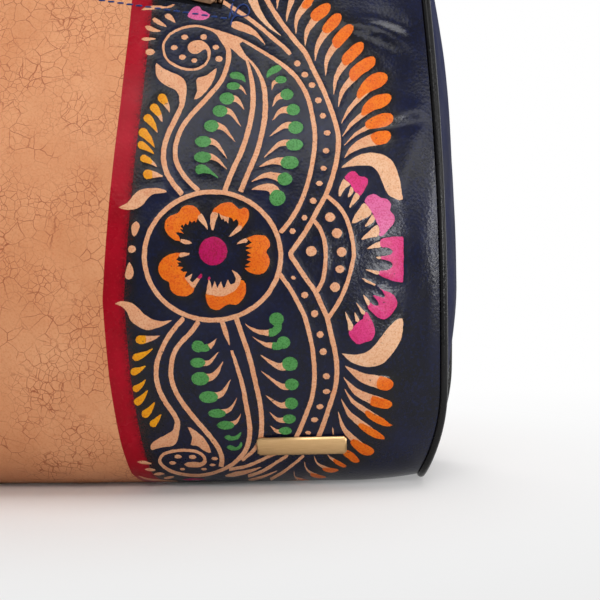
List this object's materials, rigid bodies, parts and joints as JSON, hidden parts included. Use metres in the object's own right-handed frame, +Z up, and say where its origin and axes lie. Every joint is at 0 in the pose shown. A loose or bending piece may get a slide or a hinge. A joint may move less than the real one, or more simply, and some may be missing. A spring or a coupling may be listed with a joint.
{
  "type": "shoulder bag",
  "caption": "Soft dyed-leather shoulder bag with wrap-under panels, teardrop gussets, corded piping, a zipped top, a slanting front zip pocket and rolled handles.",
  "frame": {"origin": "on the floor under the middle of the bag", "axes": "+X along the width to the right seen from the front, +Y towards the back, +Z up"},
  "size_m": [0.3616, 0.14, 0.4922],
  "materials": {
    "dyed_leather": "embossed and dyed, satin, with painted ornament",
    "black_leather": "smooth, semi-gloss",
    "lining_cloth": "plain woven",
    "board": "plain sheet",
    "gold_plate": "brushed gold tone",
    "zip_tape": "woven tape",
    "zip_metal": "aged bronze tone"
  },
  "bodies": {
    "bag": {"front_panel": "dyed_leather", "back_panel": "dyed_leather", "gusset_left": "dyed_leather", "gusset_right": "dyed_leather", "piping_left": "black_leather", "piping_right": "black_leather", "handle_front": "black_leather", "handle_back": "black_leather", "lining": "lining_cloth", "pocket_pouch": "lining_cloth", "base_board": "board", "name_plate": "gold_plate", "top_zip_tape_front": "zip_tape", "top_zip_tape_back": "zip_tape", "pocket_zip_tape_upper": "zip_tape", "pocket_zip_tape_lower": "zip_tape", "top_zip_teeth_front": "zip_metal", "top_zip_teeth_back": "zip_metal", "top_zip_stops": "zip_metal", "pocket_zip_teeth_upper": "zip_metal", "pocket_zip_teeth_lower": "zip_metal", "pocket_zip_stops": "zip_metal"},
    "top_slider": {"top_zip_slider": "zip_metal"},
    "top_pull": {"top_zip_pull": "zip_metal"},
    "pocket_slider": {"pocket_zip_slider": "zip_metal"},
    "pocket_pull": {"pocket_zip_pull": "zip_metal"}
  },
  "joints": [
    {"name": "top_slider_travel", "type": "slide", "parent": "bag", "child": "top_slider", "axis": [-1, 0, 0], "range_m": [0, 0.2777]},
    {"name": "top_pull_flip", "type": "hinge", "parent": "top_slider", "child": "top_pull", "pos_m": [0.13887, 0, 0.2732], "axis": [0, 1, 0], "range_deg": [0, 180]},
    {"name": "pocket_slider_travel", "type": "slide", "parent": "bag", "child": "pocket_slider", "axis": [-0.9816, 0.0755, 0.1752], "range_m": [0, 0.12]},
    {"name": "pocket_pull_flip", "type": "hinge", "parent": "pocket_slider", "child": "pocket_pull", "pos_m": [0.0749, -0.03543, 0.21446], "axis": [0.1908, 0.3885, 0.9015], "range_deg": [0, 180]}
  ]
}
